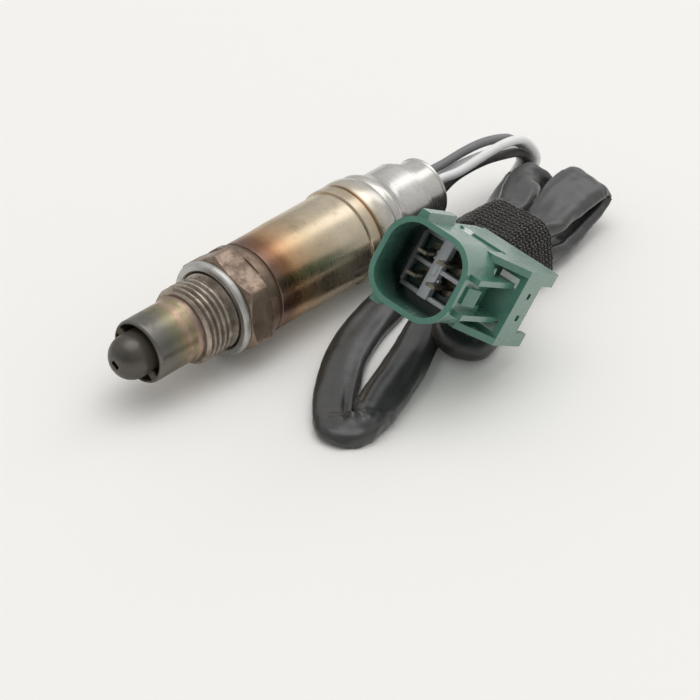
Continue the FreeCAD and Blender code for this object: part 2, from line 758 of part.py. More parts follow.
def plug_leads():
    """Four short wires that gather from the seals into the end of the sleeve."""
    leads = []
    start = plug_depth - seal_recess
    end = plug_depth + plug_lead_length
    for x, y in cavity_places():
        side_x = math.copysign(bundled_pitch / 2.0, x - core_shift)
        side_y = math.copysign(bundled_pitch / 2.0, y)
        first = Part.Wire(Part.Circle(V(x, y, -start), V(0, 0, -1), wire_r).toShape())
        last = Part.Wire(Part.Circle(V(core_shift + side_x, side_y, -end), V(0, 0, -1), wire_r).toShape())
        leads.append(Part.makeLoft([first, last], True))
    return Part.makeCompound(leads)


def plug_placement():
    """Where the plug lies: its mouth's middle, and its right, up and outward directions."""
    heading = math.radians(plug_heading)
    rise = math.radians(plug_nose_up)
    roll = math.radians(plug_roll)
    outward = V(math.cos(rise) * math.cos(heading), math.cos(rise) * math.sin(heading), math.sin(rise))
    level = V(-math.sin(heading), math.cos(heading), 0)
    if level.y > 0:
        level = level * -1.0
    upright = outward.cross(level)
    right = level * math.cos(roll) + upright * math.sin(roll)
    up = outward.cross(right)
    matrix = FreeCAD.Matrix(
        right.x, up.x, outward.x, plug_mouth.x,
        right.y, up.y, outward.y, plug_mouth.y,
        right.z, up.z, outward.z, plug_mouth.z,
        0, 0, 0, 1)
    return FreeCAD.Placement(matrix)


def on_sensor(shape):
    """Move a piece from stations on the axis to its place above the floor."""
    shape.translate(V(seat_x, 0, axis_z))
    return shape


def on_plug(shape):
    """Move a piece from the plug's own frame to where the plug lies."""
    shape.Placement = plug_placement().multiply(shape.Placement)
    return shape


def harness_sleeve():
    """The sleeved lead, its last run on the axis of the plug behind its short wires."""
    placement = plug_placement()
    end = placement.multVec(V(core_shift, 0, -plug_depth - plug_lead_length))
    before = placement.multVec(V(core_shift, 0, -plug_depth - plug_lead_length - plug_lead_run))
    return routed_tube(lead_route + [before, end], sleeve_r, "harness_sleeve")


def build():
    """Every piece by its node name."""
    sensor = {
        "outer_protection_tube": outer_protection_tube(),
        "inner_protection_tube": inner_protection_tube(),
        "sensor_housing": sensor_housing(),
        "seal_gasket": seal_gasket(),
        "seat_washer": ring(0, washer_thickness, passage_r, housing_bore_r - 0.8),
        "sensing_element": sensing_element(),
        "heater_rod": rod(heater_front, heater_rear, heater_r),
        "powder_seal": ring(collar_rear, powder_rear, element_rear_r, housing_bore_r),
        "support_tube": ring(powder_rear, support_rear, element_rear_r + fit_gap, housing_bore_r - fit_gap),
        "disc_spring": disc_spring(),
        "contact_holder": contact_holder(),
        "contact_strips": contact_strips(),
        "holder_spring": ring(spring_sleeve_front, spring_sleeve_front + spring_sleeve_length,
                              holder_r, shell_r - shell_wall),
        "protective_shell": protective_shell(),
        "rear_sleeve": rear_sleeve(),
        "cable_cap": cable_cap(),
        "cable_grommet": cable_grommet(),
        "lead_ends": lead_ends(),
    }
    plug = {
        "plug_housing": plug_housing(),
        "terminal_retainer": terminal_retainer(),
        "blade_terminals": blade_terminals(),
        "wire_seals": wire_seals(),
        "plug_leads": plug_leads(),
    }
    pieces = {name: on_sensor(shape) for name, shape in sensor.items()}
    pieces.update({name: on_plug(shape) for name, shape in plug.items()})
    for name in wire_places:
        pieces["wire_" + name] = lead_wire(name)
    pieces["harness_sleeve"] = harness_sleeve()
    pieces["tie_band"] = tie_band()
    return pieces


def main():
    """Write one STEP file for each node."""
    os.makedirs("parts", exist_ok=True)
    for name, shape in build().items():
        shape.exportStep("parts/" + name + ".step")


main()
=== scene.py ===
"""Looks of a heated oxygen sensor with its folded lead and green plug, lying on a pale floor.

Everything is in metres in the frame of the CAD model: +X runs from the sensor's nose to its
cable end, +Z is up and z = 0 is the floor. Stations along the sensor are in millimetres from
the hexagon's front face, as in the CAD source.
"""

import math

import bpy
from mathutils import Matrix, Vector, noise


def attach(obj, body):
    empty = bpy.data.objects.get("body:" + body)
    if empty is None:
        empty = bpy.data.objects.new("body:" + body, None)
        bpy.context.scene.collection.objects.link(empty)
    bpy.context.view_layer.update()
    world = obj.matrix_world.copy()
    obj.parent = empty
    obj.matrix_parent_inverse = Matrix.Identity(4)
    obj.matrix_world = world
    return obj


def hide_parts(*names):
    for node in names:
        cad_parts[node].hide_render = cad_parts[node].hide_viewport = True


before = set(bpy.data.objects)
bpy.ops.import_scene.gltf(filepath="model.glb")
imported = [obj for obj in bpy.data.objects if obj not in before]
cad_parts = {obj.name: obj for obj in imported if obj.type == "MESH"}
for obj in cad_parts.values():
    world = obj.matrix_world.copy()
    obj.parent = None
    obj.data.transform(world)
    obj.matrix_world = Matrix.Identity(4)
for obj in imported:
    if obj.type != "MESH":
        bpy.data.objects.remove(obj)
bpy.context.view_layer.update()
MM = 0.001

# Sizes shared with the CAD source, in millimetres
seat_x = -18.7
axis_z = 12.52
hex_across_flats = 22.0
hex_blank_r = 12.55
hex_turn = 24.8
thread_r = 9.0
thread_depth = 0.92
thread_pitch = 1.5
thread_front = -11.0
thread_end = -3.0
hex_length = 6.3
hex_chamfer_r = 10.9
wire_r = 1.1

# Plug: place of its mouth in millimetres and its right, up and outward directions
plug_mouth = Vector((-2.0, -44.1, 34.0))
plug_right = Vector((0.061276, -0.979399, -0.192415))
plug_up = Vector((0.537066, -0.130138, 0.833441))
plug_out = Vector((-0.841312, -0.154410, 0.518027))
mouth_width = 19.0
mouth_height = 17.6
mouth_corner_r = 6.1
mouth_depth = 13.9

# Camera: place in millimetres, heading and pitch in degrees, and lens
camera_place = (-401.54, -397.34, 381.47)
camera_heading = 43.017
camera_pitch = -34.618
camera_lens = 155.21


# Nodes for materials

class Look:
    """A procedural material built around one Principled shader."""

    def __init__(self, name):
        self.material = bpy.data.materials.new(name)
        self.material.use_nodes = True
        self.tree = self.material.node_tree
        self.shader = self.tree.nodes["Principled BSDF"]
        self.place = self.tree.nodes.new("ShaderNodeTexCoord").outputs["Object"]

    def put(self, socket, value):
        """Link or set one input."""
        if isinstance(value, bpy.types.NodeSocket):
            self.tree.links.new(value, socket)
        elif value is not None:
            socket.default_value = value

    def set(self, **values):
        """Set the shader's inputs by their names, with underscores for spaces."""
        for key, value in values.items():
            if isinstance(value, tuple) and len(value) == 3:
                value = value + (1.0,)
            self.put(self.shader.inputs[key.replace("_", " ")], value)
        return self

    def noise(self, scale, detail=3.0, roughness=0.55, source=None):
        """Noise from 0 to 1; the scale is in features per metre."""
        node = self.tree.nodes.new("ShaderNodeTexNoise")
        self.put(node.inputs["Vector"], source or self.place)
        node.inputs["Scale"].default_value = scale
        node.inputs["Detail"].default_value = detail
        node.inputs["Roughness"].default_value = roughness
        return node.outputs["Fac"]

    def calc(self, operation, first, second=None):
        """One math node."""
        node = self.tree.nodes.new("ShaderNodeMath")
        node.operation = operation
        for socket, value in zip(node.inputs, (first, second)):
            self.put(socket, value)
        return node.outputs[0]

    def span(self, value, low, high, to_low=0.0, to_high=1.0):
        """Map a value from one range to another, clamped."""
        node = self.tree.nodes.new("ShaderNodeMapRange")
        self.put(node.inputs["Value"], value)
        for key, number in (("From Min", low), ("From Max", high), ("To Min", to_low), ("To Max", to_high)):
            node.inputs[key].default_value = number
        return node.outputs[0]

    def blend(self, factor, first, second, kind="MIX"):
        """Mix two colours."""
        node = self.tree.nodes.new("ShaderNodeMix")
        node.data_type = "RGBA"
        node.blend_type = kind
        sockets = [s for s in node.inputs if s.type == "RGBA"]
        self.put(node.inputs[0], factor)
        for socket, value in zip(sockets, (first, second)):
            self.put(socket, value + (1.0,) if isinstance(value, tuple) else value)
        return [s for s in node.outputs if s.type == "RGBA"][0]

    def ramp(self, factor, stops):
        """A colour ramp from pairs of place and colour."""
        node = self.tree.nodes.new("ShaderNodeValToRGB")
        self.put(node.inputs["Fac"], factor)
        ramp = node.color_ramp
        for index, (place, colour) in enumerate(stops):
            stop = ramp.elements[index] if index < 2 else ramp.elements.new(place)
            stop.position = place
            stop.color = tuple(colour) + (1.0,)
        return node.outputs["Color"]

    def split(self):
        """The x, y and z of the place."""
        node = self.tree.nodes.new("ShaderNodeSeparateXYZ")
        self.put(node.inputs[0], self.place)
        return node.outputs

    def join(self, x, y, z):
        """A place from three numbers."""
        node = self.tree.nodes.new("ShaderNodeCombineXYZ")
        for socket, value in zip(node.inputs, (x, y, z)):
            self.put(socket, value)
        return node.outputs[0]

    def layer(self, name):
        """A number stored on the mesh."""
        node = self.tree.nodes.new("ShaderNodeAttribute")
        node.attribute_name = name
        return node.outputs["Fac"]

    def bump(self, height, distance, strength=1.0, under=None):
        """Relief of a given depth in metres, on top of another relief."""
        node = self.tree.nodes.new("ShaderNodeBump")
        self.put(node.inputs["Height"], height)
        node.inputs["Distance"].default_value = distance
        node.inputs["Strength"].default_value = strength
        if under is not None:
            self.put(node.inputs["Normal"], under)
        self.put(self.shader.inputs["Normal"], node.outputs[0])
        return node.outputs[0]

    def station(self):
        """Station along the sensor in millimetres."""
        return self.calc("SUBTRACT", self.calc("MULTIPLY", self.split()[0], 1000.0), seat_x)


def linear(red, green, blue):
    """A linear colour from display values from 0 to 255."""
    colour = []
    for value in (red, green, blue):
        share = value / 255.0
        colour.append(((share + 0.055) / 1.055) ** 2.4 if value > 10 else share / 12.92)
    return tuple(colour)


# Mesh helpers

def mesh_piece(name, points, faces, look, sharp=32.0):
    """A mesh piece from points in millimetres, smooth but for edges above an angle."""
    mesh = bpy.data.meshes.new(name)
    mesh.from_pydata([Vector(p) * MM for p in points], [], faces)
    mesh.validate()
    mesh.polygons.foreach_set("use_smooth", [True] * len(mesh.polygons))
    mesh.set_sharp_from_angle(angle=math.radians(sharp))
    piece = bpy.data.objects.new(name, mesh)
    bpy.context.scene.collection.objects.link(piece)
    piece.data.materials.append(look.material)
    return piece


def grid_faces(rows, columns, close_rows=False):
    """Quads of a grid of points whose columns wrap round, and whose rows do where asked."""
    faces = []
    for row in range(rows if close_rows else rows - 1):
        following = (row + 1) % rows
        for column in range(columns):
            beside = (column + 1) % columns
            faces.append((row * columns + column, row * columns + beside,
                          following * columns + beside, following * columns + column))
    return faces


def dress(node, look):
    """Give a CAD node a material."""
    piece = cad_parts[node]
    piece.data.materials.clear()
    piece.data.materials.append(look.material)
    return piece


def own(piece, node):
    """Hide a CAD node and attach the piece that stands for it to the root body."""
    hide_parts(node)
    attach(piece, "root")
    return piece


def round_edges(piece, width, from_angle=30.0):
    """Round a piece's edges above an angle by a width in millimetres."""
    rim = piece.modifiers.new("rounded_edges", "BEVEL")
    rim.width = width * MM
    rim.segments = 3
    rim.limit_method = "ANGLE"
    rim.angle_limit = math.radians(from_angle)
    rim.harden_normals = True


def plug_boxes(name, boxes, look, round_by):
    """Rounded bars in the plug's own frame: limits across, up and by depth behind the mouth."""
    points = []
    faces = []
    for left, right, low, high, front, rear in boxes:
        first = len(points)
        for depth in (front, rear):
            for up, across in ((low, left), (low, right), (high, right), (high, left)):
                points.append(tuple(plug_mouth + plug_right * across + plug_up * up - plug_out * depth))
        for corners in ((0, 1, 2, 3), (7, 6, 5, 4), (0, 4, 5, 1), (1, 5, 6, 2), (2, 6, 7, 3), (3, 7, 4, 0)):
            faces.append(tuple(first + corner for corner in corners))
    piece = mesh_piece(name, points, faces, look)
    round_edges(piece, round_by)
    return piece


# Housing: rolled thread, hexagon and collar in one skin

# Sizes in millimetres, slopes, and shares of half a turn of the thread
stub_bore_r = 7.05
stub_front_r = 8.2
thread_root_r = thread_r - thread_depth
thread_crest_share = 0.22
thread_flank_share = 0.56
thread_wear = 0.03
thread_chamfer = 0.75
thread_run_out_slope = 0.9
thread_row_step = 0.08
undercut_front = thread_end + 0.55
undercut_rear = thread_end + 0.9
hex_face_step = 0.12
hex_front_slope = 1.72
hex_rear_slope = 1.85
hex_rear_chamfer = 0.62
blank_round = 0.25
flat_round = 0.3
housing_segments = 360

# Stations of the hexagon's rows, closer together where its corners are turned
hexagon_stations = [
    0.04, 0.12, 0.24, 0.36, 0.48, 0.6, 0.72, 0.84, 0.94, 1.02, 1.12, 1.3, 1.8, 2.6, 3.6, 4.6, 5.2, 5.45,
    5.58, 5.68, 5.78, 5.9, 6.02, 6.14, 6.24,
]

# Outline behind the hexagon as station and radius: the collar, its shoulder, the spigot and its bore
collar_outline = [
    (6.3, 11.62), (6.3, 11.42), (6.34, 11.4), (8.1, 11.4), (8.25, 11.38), (8.38, 11.31), (8.46, 11.2),
    (8.5, 11.05), (8.5, 10.72), (8.54, 10.7), (9.74, 10.7), (9.8, 10.64), (9.8, 10.25), (15.0, 10.25),
    (15.0, 9.0),
]


def soft_min(first, second, width):
    """The smaller of two numbers, with a rounded change from one to the other."""
    gap = max(width - abs(first - second), 0.0) / width
    return min(first, second) - gap * gap * width * 0.25


def thread_radius(station, angle):
    """Radius of the rolled thread, with its rounded turns and its run-out."""
    phase = (station / thread_pitch - angle / (2 * math.pi)) % 1.0
    valley = abs(2 * phase - 1.0)
    hollow = min(max((valley - thread_crest_share) / thread_flank_share, 0.0), 1.0)
    hollow = hollow * hollow * (3 - 2 * hollow)
    worn = thread_wear * noise.noise(Vector((station * 0.8, math.cos(angle) * 4, math.sin(angle) * 4)))
    radius = thread_r - thread_depth * hollow + worn
    chamfer = thread_r - thread_chamfer + (station - thread_front)
    run_out = thread_root_r + max(thread_end - station, 0.0) * thread_run_out_slope
    return max(min(radius, chamfer, run_out), thread_root_r - 0.02)


def hexagon_radius(station, angle):
    """Radius of the hexagon with its turned corners, all edges softly rounded."""
    turn = (angle - math.radians(hex_turn)) % math.radians(60.0) - math.radians(30.0)
    flat = hex_across_flats / 2.0 / math.cos(turn)
    front = hex_chamfer_r + station * hex_front_slope
    rear = hex_blank_r - max(station - (hex_length - hex_rear_chamfer), 0.0) * hex_rear_slope
    blank = soft_min(soft_min(hex_blank_r, front, blank_round), rear, blank_round)
    return soft_min(flat, blank, flat_round)


def housing_skin():
    """Rows of stations with the rule for the radius, from the stub's front to the spigot and back inside."""
    rows = [(thread_front + 2.0, lambda s, a: stub_bore_r), (thread_front, lambda s, a: stub_bore_r),
            (thread_front, lambda s, a: stub_front_r)]
    count = int(round((thread_end - thread_front) / thread_row_step))
    rows += [(thread_front + thread_row_step * i, thread_radius) for i in range(count + 1)]
    rows += [(undercut_front, lambda s, a: thread_root_r), (undercut_rear, lambda s, a: thread_r),
             (-0.02, lambda s, a: thread_r), (0.0, lambda s, a: thread_r + 0.02)]
    rows += [(0.0, lambda s, a: hexagon_radius(0.0, a) - hex_face_step)]
    rows += [(place, hexagon_radius) for place in hexagon_stations]
    for place, radius in collar_outline:
        if place <= hex_length:
            rows.append((place, lambda s, a, r=radius: min(r, hexagon_radius(hex_length - 0.1, a))))
        else:
            rows.append((place, lambda s, a, r=radius: r))
    return rows


def housing(look):
    """The one-piece housing's visible skin, closed by its bore."""
    rows = housing_skin()
    points = []
    for station, rule in rows:
        for step in range(housing_segments):
            angle = 2 * math.pi * step / housing_segments
            radius = rule(station, angle)
            points.append((seat_x + station, radius * math.cos(angle), axis_z + radius * math.sin(angle)))
    faces = grid_faces(len(rows), housing_segments, close_rows=True)
    return mesh_piece("threaded_housing", points, faces, look, 50.0)


# Soft pieces that follow a line

def frames_along(places):
    """Arc lengths and steady side and up directions along a line of points in millimetres.

    The side direction is carried along from point to point, so that a fold over the top keeps it,
    and drifts back to level wherever the line runs level.
    """
    level_pull = 0.25
    lengths = [0.0]
    for first, second in zip(places, places[1:]):
        lengths.append(lengths[-1] + (second - first).length)
    frames = []
    side = None
    for index in range(len(places)):
        ahead = (places[min(index + 1, len(places) - 1)] - places[max(index - 1, 0)]).normalized()
        level = ahead.cross(Vector((0, 0, 1)))
        flatness = level.length ** 4
        if side is None:
            side = level.normalized()
        side = (side - ahead * side.dot(ahead)).normalized()
        if side.dot(level) < 0:
            level = -level
        side = (side + level.normalized() * level_pull * flatness).normalized()
        frames.append((ahead, side, side.cross(ahead)))
    return lengths, frames


def between(keys, place):
    """Smooth values between given keys, each a place followed by its values."""
    if place <= keys[0][0]:
        return keys[0][1:]
    for first, second in zip(keys, keys[1:]):
        if place <= second[0]:
            t = (place - first[0]) / max(second[0] - first[0], 1e-6)
            t = t * t * (3 - 2 * t)
            return tuple(a + (b - a) * t for a, b in zip(first[1:], second[1:]))
    return keys[-1][1:]


# Sleeve by the points of its route, counted from 0 and with a part of the way to the next one as a
# fraction: width, thickness, roll in degrees, drop, lean of its width along X, depth of the pleat on its
# upper side and, where there is one, dip of its near edge
sleeve_keys = [
    (0, 6.4, 5.0, 0, 0.6, 0, 0), (1, 7.4, 4.4, 0, 0.9, 0, 0), (1.7, 6.8, 5.2, 0, 0.3, 0, 0),
    (2, 6.6, 5.8, 0, 0.0, 0, 0), (3, 6.6, 5.8, 0, 0.0, 0, 0), (3.5, 8.2, 4.6, 14, 0.4, 0, 0),
    (4, 8.8, 4.2, 16, 0.8, 0, 0), (5, 9.2, 4.0, 14, 1.0, 0, 0), (6, 9.6, 3.8, 12, 1.1, 0, 0.05),
    (7, 9.8, 3.6, 10, 1.2, 0, 0.35), (8, 9.8, 3.6, 6, 1.2, 0, 0.9), (9, 9.6, 4.0, -4, 1.0, 0, 0.9),
    (9.6, 8.8, 4.6, -20, 0.7, 0, 0.6), (10, 7.6, 5.2, -34, 0.3, 0, 0.3), (10.25, 6.8, 5.4, -28, 0.3, 0, 0),
    (10.6, 8.2, 5.0, -22, 0.1, 0, 0), (11, 9.6, 4.4, -10, 0.1, 0, -0.4),
    (12, 10.2, 3.9, -8, 0.1, 0, -0.5), (13, 9.8, 3.9, -7, 0.1, 0, -0.2), (14, 9.0, 4.2, -4, 0.5, 0, 0),
    (14.6, 7.2, 5.2, 0, 0.3, 0, 0), (15, 6.6, 5.8, 0, 0.0, 0, 0), (16, 6.6, 5.8, 0, 0.0, 0, 0),
    (16.4, 7.6, 5.0, 0, 0.4, 0, 0), (17, 8.2, 4.4, 0, 0.8, 0, 0), (18, 7.8, 3.8, 0, 0.6, 0, 0),
    (18.6, 8.0, 3.0, 0, 0.0, 0, 0), (19, 8.6, 3.2, 0, 0.0, 0.2, 0), (20, 8.8, 3.8, 0, 0.0, 0, 0),
    (20.7, 8.4, 4.2, 0, 0.0, 0, 0), (21.15, 6.8, 5.6, 0, 0.0, 0, 0), (22, 6.6, 5.8, 0, 0.0, 0, 0),
    (23, 7.4, 5.0, 0, 0.0, 0, 0), (24, 7.4, 5.2, 0, 0.2, 0, 0), (25, 7.4, 5.4, 0, 0.4, 0, 0),
    (26, 7.6, 5.4, 0, 0.4, 0, 0), (27, 8.2, 4.8, 0, 0.7, 0, 0), (27.7, 7.0, 5.4, 0, 0.3, 0, 0),
    (28, 6.6, 5.8, 0, 0.0, 0, 0), (29, 6.6, 5.8, 0, 0.0, 0, 0), (29.5, 8.6, 4.4, 0, 0.6, 0, 0),
    (30, 9.8, 3.6, 0, 0.6, 0, 0, -0.05), (31, 9.8, 3.2, 0, 0.0, 0.1, 0, 0.0),
    (31.5, 9.8, 3.0, 0, 0.0, 0.0, 0, 0.45), (32, 10.2, 3.0, 0, 0.0, 0.0, 0, 0.45),
    (33, 10.6, 3.2, 0, 0.0, 0, 0, 0.4), (33.7, 10.0, 4.0, 0, 0.0, 0, 0, 0.2),
    (34.15, 7.0, 5.4, 0, 0.0, 0, 0), (35, 6.6, 5.8, 0, 0.0, 0, 0), (36, 6.4, 5.9, 0, 0.0, 0, 0),
    (37, 6.2, 6.2, 0, 0.0, 0, 0),
]
sleeve_key_values = 7
sleeve_segments = 48
sleeve_lowest = 0.05
sleeve_wall_share = 0.16
crumple_reach = 12


def keys_by_length(places, lengths):
    """The sleeve's keys, each by its length along the line."""
    keys = []
    nearest = 0
    for index, *values in sleeve_keys:
        whole = min(int(index), len(lead_route) - 2)
        knot = Vector(lead_route[whole]).lerp(Vector(lead_route[whole + 1]), index - whole) * 1000.0
        ahead = range(nearest, min(nearest + 60, len(places)))
        nearest = min(ahead, key=lambda i: (places[i] - knot).length)
        keys.append((lengths[nearest], *values, *[0.0] * (sleeve_key_values - len(values))))
    return keys


def sleeve_relief(length, angle, reach, rise, crumple, pleat):
    """How far the vinyl stands out: soft waves, flutes, creases in the bends and the pleat on its top."""
    wide = math.cos(angle)
    high = math.sin(angle)
    waves = noise.noise(Vector((length * 0.09, wide * 1.1, high * 1.1))) * 0.35
    ripples = noise.noise(Vector((length * 0.28, wide * 1.6, 7 + high * 1.6))) * 0.07
    flutes = math.cos(3 * math.pi * reach) * 0.08 * abs(rise)
    crease = noise.noise(Vector((length * 0.42, wide * 0.9, 3 + high * 0.9)))
    creases = crumple * (0.25 - abs(crease)) * 1.6
    groove = math.exp(-((reach + 0.5) / 0.1) ** 2)
    lip = 0.5 * math.exp(-((reach + 0.72) / 0.12) ** 2)
    return waves + ripples + flutes + creases - pleat * (groove - lip) * max(rise, 0.0)


def sleeve_lining(points):
    """Two rings inside the sleeve's first end, which give it a wall and a mouth."""
    lining = []
    for index in (10, 0):
        ring = [Vector(point) for point in points[index * sleeve_segments:(index + 1) * sleeve_segments]]
        middle = sum(ring, Vector()) / sleeve_segments
        lining += [tuple(point.lerp(middle, sleeve_wall_share)) for point in ring]
    return lining


def sleeve(look, places):
    """The flattened vinyl sleeve as a soft tube round its line."""
    places = [place * 1000.0 for place in places]
    lengths, frames = frames_along(places)
    keys = keys_by_length(places, lengths)
    points = []
    for index, (place, length, (ahead, side, up)) in enumerate(zip(places, lengths, frames)):
        before = frames[max(index - crumple_reach, 0)][0]
        after = frames[min(index + crumple_reach, len(frames) - 1)][0]
        crumple = 0.3 * min(before.angle(after) / 1.3, 1.0)
        width, thickness, roll, drop, lean, pleat, dip = between(keys, length)
        turn = math.radians(roll)
        across = side * math.cos(turn) + up * math.sin(turn) + Vector((lean, 0, -dip))
        high = up * math.cos(turn) - side * math.sin(turn)
        centre = place - Vector((0, 0, drop))
        for step in range(sleeve_segments):
            angle = 2 * math.pi * step / sleeve_segments
            reach = math.copysign(abs(math.cos(angle)) ** 0.82, math.cos(angle))
            rise = math.copysign(abs(math.sin(angle)) ** 0.9, math.sin(angle))
            out = (across * reach * thickness + high * rise * width).normalized()
            point = centre + across * reach * width / 2.0 + high * rise * thickness / 2.0
            point += out * sleeve_relief(length, angle, reach, rise, crumple, pleat)
            point.z = max(point.z, sleeve_lowest)
            points.append(tuple(point))
    points = sleeve_lining(points) + points
    rings = len(places) + 2
    faces = grid_faces(rings, sleeve_segments)
    faces.append(tuple(range(sleeve_segments - 1, -1, -1)))
    faces.append(tuple(range((rings - 1) * sleeve_segments, rings * sleeve_segments)))
    return mesh_piece("sleeved_lead", points, faces, look, 60.0)


# Knitted tie: a coarse rib knit wrapped round the folded strands

# Middles of the outer tied strands across and up, and the tie's sizes, all in millimetres
tied_strands = ((-13.0, 4.2), (-20.4, 10.9), (-30.2, 10.9), (-31.0, 4.2))
tie_inner_r = 3.4
tie_outer_r = 4.2
tie_front = 42.6
tie_length = 12.0
tie_lowest = 0.03
knit_spacing = 0.12
knit_rows = 112
stitch_width = 1.3
stitch_length = 1.1


def wrap_line(radius, spacing):
    """Evenly spaced places and outward directions round rods at the tied strands."""
    centres = [Vector((0, y, z)) for y, z in tied_strands]
    turns = []
    for index, centre in enumerate(centres):
        run = centres[(index + 1) % len(centres)] - centre
        turns.append(math.atan2(-run.y, run.z))
    line = []
    for index, centre in enumerate(centres):
        first, last = turns[index - 1], turns[index]
        sweep = (last - first) % (2 * math.pi)
        steps = max(int(radius * sweep / spacing), 2)
        for step in range(steps):
            angle = first + sweep * step / steps
            out = Vector((0, math.cos(angle), math.sin(angle)))
            line.append((centre + out * radius, out))
        out = Vector((0, math.cos(last), math.sin(last)))
        start = centre + out * radius
        stop = centres[(index + 1) % len(centres)] + out * radius
        steps = int((stop - start).length / spacing)
        for step in range(steps):
            line.append((start.lerp(stop, step / steps), out))
    return line


def stitch_rise(wale, course):
    """Height of the yarn from 0 to 1, at a place counted in stitches round and along the tie."""
    aside = 2 * (wale % 1.0) - 1.0
    leg = 2 * abs(aside) - 1.0
    slope = course + abs(aside) * 0.75
    loop = 0.5 + 0.5 * math.cos(2 * math.pi * slope)
    return math.sqrt(max(1 - leg * leg, 0.0)) * (0.2 + 0.8 * loop)


def knit(look):
    """The tie band with its stitches as relief."""
    outer = wrap_line(tie_outer_r - 0.42, knit_spacing)
    total = sum((b[0] - a[0]).length for a, b in zip(outer, outer[1:] + outer[:1]))
    columns = round(total / stitch_width)
    points = []
    raised = []
    for row in range(knit_rows):
        x = tie_length * row / (knit_rows - 1)
        edge = min(x, tie_length - x)
        run = 0.0
        for index, (place, out) in enumerate(outer):
            following = outer[(index + 1) % len(outer)][0]
            wale = run / total * columns
            run += (following - place).length
            height = stitch_rise(wale, x / stitch_length)
            loose = noise.noise(Vector((x * 0.5, place.y * 0.5, place.z * 0.5)))
            tuck = -0.35 * max(0.0, 1 - edge / 0.5) ** 2
            bulge = 0.5 * math.sin(math.pi * x / tie_length) + 0.5 * (x / tie_length) ** 2
            lift = height * 0.5 + loose * 0.35 + tuck + bulge
            raised.append(height)
            wander = 0.12 * noise.noise(Vector((place.y * 1.7, place.z * 1.7, 3.0)))
            y, z = (place + out * lift).yz
            points.append((tie_front + x + wander * (1 - 2 * x / tie_length), y, max(z, tie_lowest)))
    inner = wrap_line(tie_inner_r + 0.05, knit_spacing)
    inner = [inner[int(i * len(inner) / len(outer))] for i in range(len(outer))]
    for row in range(2):
        x = tie_length - 0.15 - (tie_length - 0.3) * row
        points += [(tie_front + x, *place.yz) for place, out in inner]
    faces = grid_faces(knit_rows + 2, len(outer), close_rows=True)
    piece = mesh_piece("knitted_tie", points, faces, look, 80.0)
    height = piece.data.attributes.new("stitch_height", "FLOAT", "POINT")
    height.data.foreach_set("value", raised + [0.0] * (len(piece.data.vertices) - len(raised)))
    return piece


# Cords: the routes of the CAD source in metres

wire_routes = {
    "wire_grey": [
        (0.0483, 0.0021, 0.01462), (0.0523, 0.0021, 0.01462), (0.0576, 0.0018, 0.0144),
        (0.0646, 0.0015, 0.0151), (0.0710, 0.0012, 0.0150), (0.0764, 0.0005, 0.0142),
        (0.0808, -0.0004, 0.0128), (0.0861, -0.0024, 0.0065), (0.0812, -0.0025, 0.0032),
        (0.0774, -0.0036, 0.0029),
    ],
    "wire_black": [
        (0.0483, -0.0021, 0.01042), (0.0523, -0.0021, 0.01042), (0.0574, -0.0018, 0.0123),
        (0.0638, -0.0017, 0.0125), (0.0700, -0.0019, 0.0122), (0.0754, -0.0028, 0.0115),
        (0.0802, -0.0034, 0.0105), (0.0824, -0.0048, 0.0078), (0.0814, -0.0047, 0.0055),
        (0.0778, -0.0058, 0.0052),
    ],
    "wire_white_front": [
        (0.0483, -0.0021, 0.01462), (0.0523, -0.0021, 0.01462), (0.0576, -0.0040, 0.0150),
        (0.0642, -0.0048, 0.0164), (0.0706, -0.0049, 0.0168), (0.0764, -0.0046, 0.0159),
        (0.0814, -0.0042, 0.0136), (0.0861, -0.0048, 0.0068), (0.0816, -0.0047, 0.0032),
        (0.0780, -0.0058, 0.0029),
    ],
    "wire_white_back": [
        (0.0483, 0.0021, 0.01042), (0.0523, 0.0021, 0.01042), (0.0574, 0.0024, 0.0116),
        (0.0638, 0.0013, 0.0122), (0.0700, 0.0006, 0.0120), (0.0754, -0.0002, 0.0114),
        (0.0802, -0.0009, 0.0105), (0.0822, -0.0024, 0.0078), (0.0810, -0.0025, 0.0055),
        (0.0772, -0.0036, 0.0052),
    ],
}

# From the wires' mouth through the folds to the plug
lead_route = [
    (0.0778, -0.0046, 0.0040), (0.0690, -0.0078, 0.0032), (0.0582, -0.0130, 0.0042),
    (0.0390, -0.0130, 0.0042), (0.0250, -0.0152, 0.0032), (0.0110, -0.0182, 0.0032),
    (-0.0016, -0.0230, 0.0032), (-0.0126, -0.0304, 0.0032), (-0.0198, -0.0362, 0.0032),
    (-0.0236, -0.0406, 0.0032), (-0.0198, -0.0456, 0.0032), (-0.0138, -0.0430, 0.0032),
    (-0.0078, -0.0404, 0.0032), (0.0026, -0.0368, 0.0032), (0.0210, -0.0276, 0.0032),
    (0.0390, -0.0216, 0.0042), (0.0576, -0.0216, 0.0042), (0.0684, -0.0178, 0.0034),
    (0.0788, -0.0140, 0.0034), (0.0744, -0.0112, 0.0090), (0.0666, -0.0150, 0.0106),
    (0.0576, -0.0204, 0.0109), (0.0390, -0.0204, 0.0109), (0.0306, -0.0266, 0.0093),
    (0.0232, -0.0334, 0.0053), (0.0158, -0.0362, 0.0054), (0.0180, -0.0434, 0.0032),
    (0.0274, -0.0396, 0.0032), (0.0386, -0.0310, 0.0042), (0.0570, -0.0310, 0.0042),
    (0.0690, -0.0272, 0.0040), (0.0818, -0.0250, 0.0062), (0.0818, -0.0246, 0.0112),
    (0.0692, -0.0262, 0.0122), (0.0570, -0.0296, 0.0109), (0.0414, -0.0302, 0.0109),
    (0.03664, -0.03602, 0.01036), (0.02991, -0.03725, 0.01451),
]


